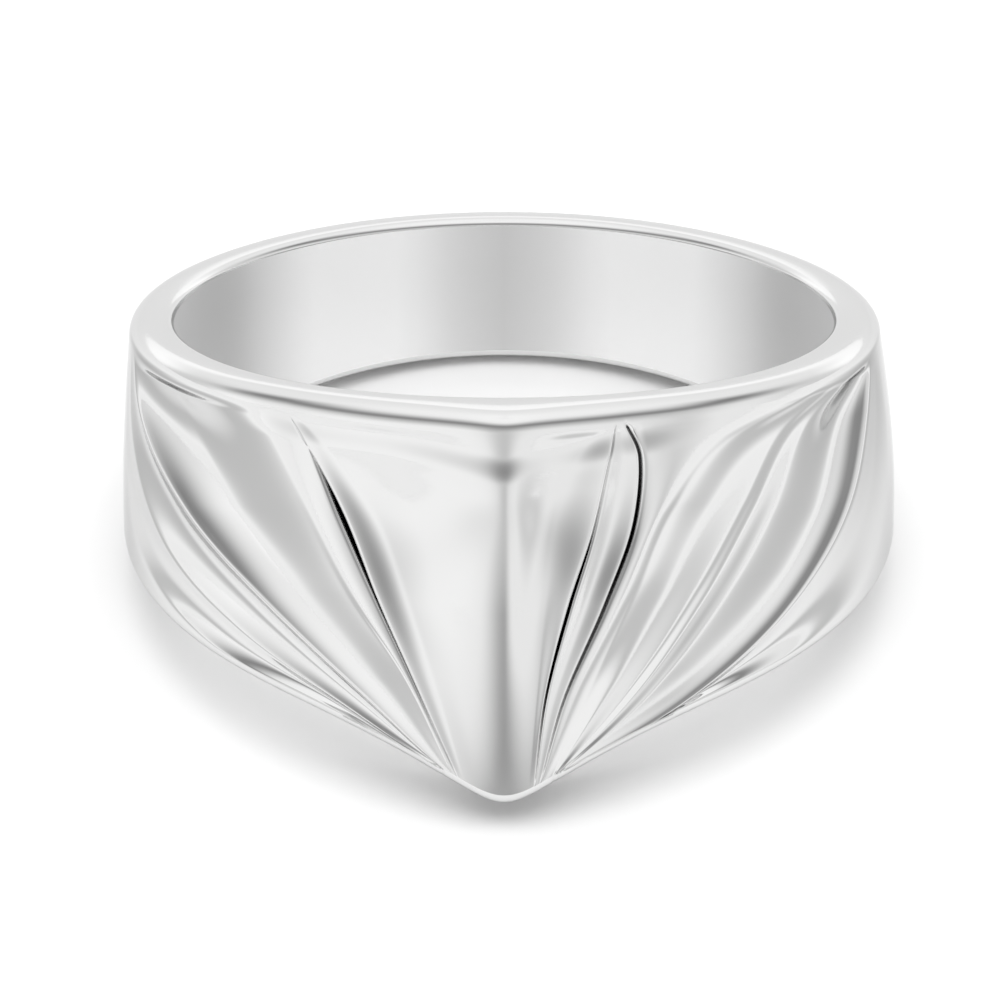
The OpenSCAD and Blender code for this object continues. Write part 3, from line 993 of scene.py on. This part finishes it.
@dataclass(frozen=True)
class PaleFloor:
    """A pale sheet, white round the ring, greyer under it by a painted shadow and far from it by
    painted shade.

    Lengths are in metres. Each tone is a share of the sheet's own that painted
    shade leaves: far in front and far behind, in a strip at either side, and a
    painted shadow inside the ring. The pairs of the strips say where their tone
    starts and where it is full.
    """

    tone: float = 0.98
    # Painted shade far out and in the side strips, and a painted shadow inside the ring.
    far_front: float = 0.30
    far_back: float = 0.95
    far_from: float = 0.032
    far_to: float = 0.065
    front_focus: float = 40.0
    side: float = 0.58
    side_in: tuple[float, float] = (0.0125, 0.0185)
    side_out: tuple[float, float] = (0.045, 0.02)
    side_back: tuple[float, float] = (0.017, 0.009)
    inside: float = 0.87
    inside_from: float = 0.0072
    inside_to: float = 0.0088
    inside_y: float = 0.001
    roughness: float = 0.8
    gloss: float = 0.2
    smallest_square: float = 1e-8

    def material(self) -> bpy.types.Material:
        """The finish as a material.

        Returns:
            A new material.
        """
        pale = bpy.data.materials.new("pale_floor")
        pale.use_nodes = True
        tree = pale.node_tree
        sight = tree.nodes.new("ShaderNodeTexCoord")
        apart = tree.nodes.new("ShaderNodeSeparateXYZ")
        tree.links.new(sight.outputs["Object"], apart.inputs[0])
        x, y, _ = apart.outputs
        # The painted shade and painted shadow scale the sheet's own tone.
        tone = self.far_painted_shade(tree, x, y)
        for share in (self.side_painted_shade(tree, x, y), self.painted_shadow_inside(tree, x, y), self.tone):
            tone = math_node(tree, "MULTIPLY", tone, share)
        grey = tree.nodes.new("ShaderNodeCombineColor")
        for socket in grey.inputs[:3]:
            tree.links.new(tone, socket)
        shader = tree.nodes["Principled BSDF"]
        tree.links.new(grey.outputs["Color"], shader.inputs["Base Color"])
        shader.inputs["Roughness"].default_value = self.roughness
        shader.inputs["Specular IOR Level"].default_value = self.gloss
        return pale

    def far_painted_shade(
        self, tree: bpy.types.NodeTree, x: bpy.types.NodeSocket, y: bpy.types.NodeSocket
    ) -> bpy.types.NodeSocket:
        """Share of the tone that the painted shade far out leaves, least straight in front.

        Args:
            tree: The material's node tree.
            x: The place's X.
            y: The place's Y.

        Returns:
            The share's socket.
        """
        squared = math_node(tree, "MULTIPLY_ADD", x, x, math_node(tree, "MULTIPLY", y, y))
        away = math_node(tree, "SQRT", math_node(tree, "ADD", squared, self.smallest_square))
        ahead = math_node(tree, "MULTIPLY_ADD", math_node(tree, "DIVIDE", y, away), -0.5, 0.5)
        ahead = math_node(tree, "POWER", ahead, self.front_focus)
        more, least = self.far_front - self.far_back, self.far_back - 1
        loss = math_node(tree, "MULTIPLY_ADD", ahead, more, least)
        out = eased_ramp(tree, away, self.far_from, self.far_to)
        return math_node(tree, "MULTIPLY_ADD", out, loss, 1.0)

    def side_painted_shade(
        self, tree: bpy.types.NodeTree, x: bpy.types.NodeSocket, y: bpy.types.NodeSocket
    ) -> bpy.types.NodeSocket:
        """Share of the tone that the painted shade in the strips at the sides leaves.

        Args:
            tree: The material's node tree.
            x: The place's X.
            y: The place's Y.

        Returns:
            The share's socket.
        """
        off = math_node(tree, "ABSOLUTE", x)
        inner, outer = eased_ramp(tree, off, *self.side_in), eased_ramp(tree, off, *self.side_out)
        strip = math_node(tree, "MULTIPLY", inner, outer)
        strip = math_node(tree, "MULTIPLY", strip, eased_ramp(tree, y, *self.side_back))
        return math_node(tree, "MULTIPLY_ADD", strip, self.side - 1, 1.0)

    def painted_shadow_inside(
        self, tree: bpy.types.NodeTree, x: bpy.types.NodeSocket, y: bpy.types.NodeSocket
    ) -> bpy.types.NodeSocket:
        """Share of the tone that the painted shadow inside the ring leaves.

        Args:
            tree: The material's node tree.
            x: The place's X.
            y: The place's Y.

        Returns:
            The share's socket.
        """
        along = math_node(tree, "SUBTRACT", y, self.inside_y)
        squared = math_node(tree, "MULTIPLY_ADD", x, x, math_node(tree, "MULTIPLY", along, along))
        out = eased_ramp(tree, math_node(tree, "SQRT", squared), self.inside_from, self.inside_to)
        return math_node(tree, "MULTIPLY_ADD", out, 1 - self.inside, self.inside)


@dataclass(frozen=True)
class TentPatch:
    """A soft-edged part of the tent that is darker or brighter than the rest.

    Angles are in degrees: azimuth from the front, positive towards +X, and
    elevation above the horizon. The gain is added to the tent's level.
    """

    azimuth: float
    elevation: float
    half_width: float
    half_height: float
    softness: float
    gain: float


@dataclass
class Tent:
    """The bright tent round the ring, which its polish reflects."""

    level: float = 1.06
    least: float = 0.02
    patches: tuple[TentPatch, ...] = (
        TentPatch(0, 34, 110, 13, 15, -0.76),
        TentPatch(-1, -6, 14, 16, 14, -0.70),
        TentPatch(-48, -4, 16, 16, 14, 0.12),
        TentPatch(54, 0, 6, 12, 8, -0.28),
        TentPatch(-88, -2, 14, 7, 8, 0.20),
        TentPatch(-115, 0, 15, 30, 20, -0.25),
        TentPatch(110, 0, 15, 30, 20, -0.25),
        TentPatch(0, 75, 180, 15, 20, 0.14),
        TentPatch(180, 2, 50, 12, 8, 0.35),
        TentPatch(-180, 2, 50, 12, 8, 0.35),
    )

    def build(self) -> bpy.types.World:
        """Makes the tent the scene's world.

        Returns:
            The world.
        """
        world = bpy.data.worlds.new("tent")
        bpy.context.scene.world = world
        world.use_nodes = True
        tree = world.node_tree
        sight = tree.nodes.new("ShaderNodeTexCoord")
        apart = tree.nodes.new("ShaderNodeSeparateXYZ")
        tree.links.new(sight.outputs["Object"], apart.inputs[0])
        x, y, z = apart.outputs
        azimuth = math_node(tree, "ARCTAN2", x, math_node(tree, "MULTIPLY", y, -1.0))
        elevation = math_node(tree, "ARCSINE", z)
        total: Signal = self.level
        for patch in self.patches:
            share: Signal = 1.0
            for angle, middle, half in (
                (azimuth, patch.azimuth, patch.half_width),
                (elevation, patch.elevation, patch.half_height),
            ):
                off = math_node(tree, "SUBTRACT", angle, math.radians(middle))
                off = math_node(tree, "ABSOLUTE", off)
                edges = math.radians(half + patch.softness), math.radians(half - patch.softness)
                share = math_node(tree, "MULTIPLY", eased_ramp(tree, off, *edges), share)
            total = math_node(tree, "MULTIPLY_ADD", share, patch.gain, total)
        total = math_node(tree, "MAXIMUM", total, self.least)
        tree.links.new(total, tree.nodes["Background"].inputs["Strength"])
        tree.nodes["Background"].inputs["Color"].default_value = (1, 1, 1, 1)
        return world


@dataclass
class Studio:
    """A pale floor, a bright tent, a soft light and the camera.

    The camera's distance and target are in millimetres of the ring's own frame,
    its lens and sensor in millimetres, and everything else is in metres.
    """

    place: RestingPlace
    camera_elevation: float = 16.9
    camera_distance: float = 220.0
    camera_lens: float = 300.0
    camera_sensor: float = 36.0
    camera_near: float = 0.005
    camera_far: float = 20.0
    target: tuple[float, float, float] = (-0.1, 0.0, -5.25)
    floor_size: float = 4.0
    lamp_power: float = 15.0
    lamp_height: float = 1.8
    lamp_size: float = 2.4

    def camera(self) -> bpy.types.Object:
        """The camera at the photograph's angle to the ring.

        Returns:
            The scene's camera.
        """
        tilt = math.radians(self.camera_elevation)
        away = Vector((0, -math.cos(tilt), math.sin(tilt)))
        target = Vector(self.target)
        spot = self.place.matrix @ (target + away * self.camera_distance)
        look = self.place.matrix @ target - spot
        deselect_all()
        bpy.ops.object.camera_add(location=spot, rotation=look.to_track_quat("-Z", "Y").to_euler())
        camera = bpy.context.object
        camera.data.lens = self.camera_lens
        camera.data.sensor_width = self.camera_sensor
        camera.data.clip_start = self.camera_near
        camera.data.clip_end = self.camera_far
        bpy.context.scene.camera = camera
        return camera

    def floor(self) -> bpy.types.Object:
        """The pale floor that the ring rests on.

        Returns:
            The floor.
        """
        deselect_all()
        bpy.ops.mesh.primitive_plane_add(size=self.floor_size)
        floor = bpy.context.object
        floor.name = "floor"
        floor.data.materials.append(PaleFloor().material())
        return floor

    def light(self) -> None:
        """The tent and a large soft lamp overhead, which the polish doesn't reflect."""
        Tent().build()
        deselect_all()
        bpy.ops.object.light_add(type="AREA", location=(0, 0, self.lamp_height))
        lamp = bpy.context.object
        lamp.name = "soft_lamp"
        lamp.data.shape = "DISK"
        lamp.data.size = self.lamp_size
        lamp.data.energy = self.lamp_power
        lamp.visible_glossy = False
        view = bpy.context.scene.view_settings
        view.view_transform = "Standard"
        view.look = "None"


def main() -> None:
    """Builds the ring, dresses it and sets the studio."""
    logging.basicConfig(level=logging.INFO, format="%(name)s: %(message)s")
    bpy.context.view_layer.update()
    resting_place = RestingPlace()
    studio = Studio(resting_place)
    studio.camera()
    builder = BandBuilder(RingForm())
    band = builder.build(resting_place.matrix)
    builder.dress(band)
    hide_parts(BAND_NODE)
    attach(band, "root")
    LOG.info("%s: %d faces", band.name, len(band.data.polygons))
    studio.floor()
    studio.light()
    deselect_all()


if __name__ == "__main__":
    main()
